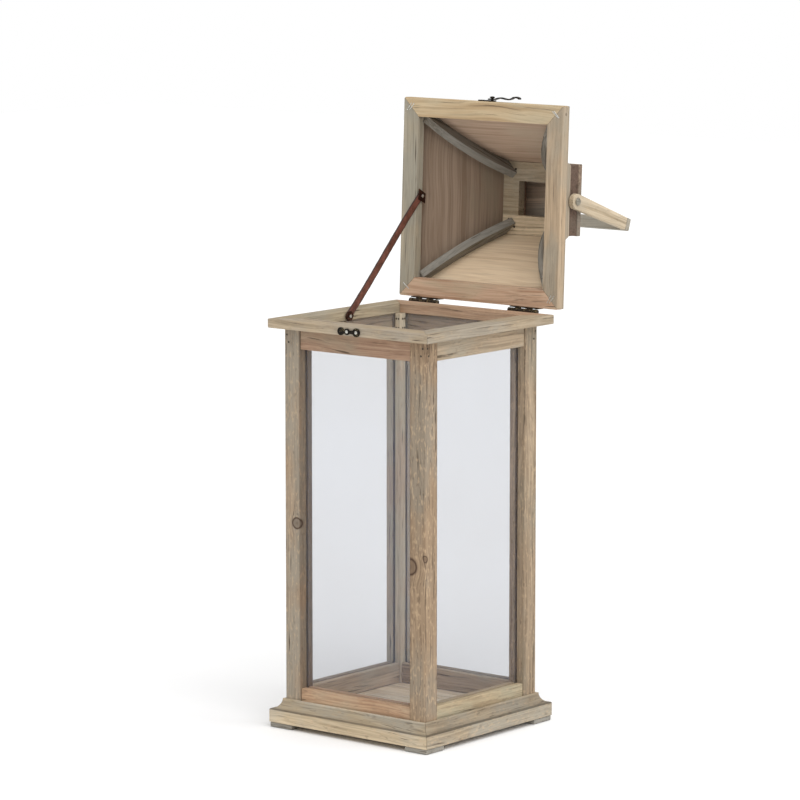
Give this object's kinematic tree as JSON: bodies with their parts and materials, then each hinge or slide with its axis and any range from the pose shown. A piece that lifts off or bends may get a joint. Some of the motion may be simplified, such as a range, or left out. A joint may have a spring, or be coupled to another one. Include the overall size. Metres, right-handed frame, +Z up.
{
  "type": "hanging lantern",
  "caption": "Square wooden candle lantern with glass sides, a hinged pagoda roof held open by a leather stay, a swinging carrying handle and a hook latch",
  "frame": {"origin": "on the surface the feet stand on, in the middle of the space that the open lantern takes up", "axes": "+Z up; the latch side faces -Y and the hinge side +Y"},
  "size_m": [0.205, 0.417, 0.6315],
  "materials": {
    "base_moulding": "weathered, washed softwood",
    "bottom_rail": "weathered, washed softwood",
    "cap_box": "weathered, washed softwood",
    "cap_plate": "weathered, washed softwood",
    "floor_board": "weathered, washed softwood",
    "foot": "weathered, washed softwood",
    "glass": "clear",
    "handle": "weathered, washed softwood",
    "hip_rib": "weathered, washed softwood",
    "lid_frame": "weathered, washed softwood",
    "metal": "antique bronze",
    "neck_frame": "weathered, washed softwood",
    "post": "weathered, washed softwood",
    "rim": "weathered, washed softwood",
    "roof_panel": "weathered, washed softwood",
    "strap": "waxed, burnished edges",
    "top_rail": "weathered, washed softwood"
  },
  "bodies": {
    "body": {"base_moulding_back": "base_moulding", "base_moulding_front": "base_moulding", "base_moulding_left": "base_moulding", "base_moulding_right": "base_moulding", "bottom_rail_back": "bottom_rail", "bottom_rail_front": "bottom_rail", "bottom_rail_left": "bottom_rail", "bottom_rail_right": "bottom_rail", "catch_plate": "metal", "floor_board": "floor_board", "foot_back_left": "foot", "foot_back_right": "foot", "foot_front_left": "foot", "foot_front_right": "foot", "glass_back": "glass", "glass_front": "glass", "glass_left": "glass", "glass_right": "glass", "post_back_left": "post", "post_back_right": "post", "post_front_left": "post", "post_front_right": "post", "rim_back": "rim", "rim_front": "rim", "rim_hinge_leaf_left": "metal", "rim_hinge_leaf_right": "metal", "rim_left": "rim", "rim_right": "rim", "strap": "strap", "strap_plate_rim": "metal", "top_rail_back": "top_rail", "top_rail_front": "top_rail", "top_rail_left": "top_rail", "top_rail_right": "top_rail"},
    "lid": {"cap_box": "cap_box", "cap_plate": "cap_plate", "handle_screw_left": "metal", "handle_screw_right": "metal", "hip_rib_back_left": "hip_rib", "hip_rib_back_right": "hip_rib", "hip_rib_front_left": "hip_rib", "hip_rib_front_right": "hip_rib", "latch_plate": "metal", "lid_frame_back": "lid_frame", "lid_frame_front": "lid_frame", "lid_frame_left": "lid_frame", "lid_frame_right": "lid_frame", "lid_hinge_leaf_left": "metal", "lid_hinge_leaf_right": "metal", "neck_frame": "neck_frame", "roof_panel_back": "roof_panel", "roof_panel_front": "roof_panel", "roof_panel_left": "roof_panel", "roof_panel_right": "roof_panel", "strap_plate_lid": "metal"},
    "handle": {"handle_arm_left": "handle", "handle_arm_right": "handle", "handle_grip": "handle"},
    "latch": {"latch_lever": "metal"}
  },
  "joints": [
    {"name": "lid_hinge", "type": "hinge", "parent": "body", "child": "lid", "pos_m": [0, 0.00264, 0.4163], "axis": [1, 0, 0], "range_deg": [0, 92.4], "deforming": ["strap"]},
    {"name": "handle_swing", "type": "hinge", "parent": "lid", "child": "handle", "pos_m": [0, 0.11418, 0.51772], "axis": [1, 0, 0], "range_deg": [-73.4, 106.6]},
    {"name": "latch_turn", "type": "hinge", "parent": "lid", "child": "latch", "pos_m": [0.0086, 0.01649, 0.6249], "axis": [0, -0.0419, -0.9991], "range_deg": [-90, 90]}
  ]
}
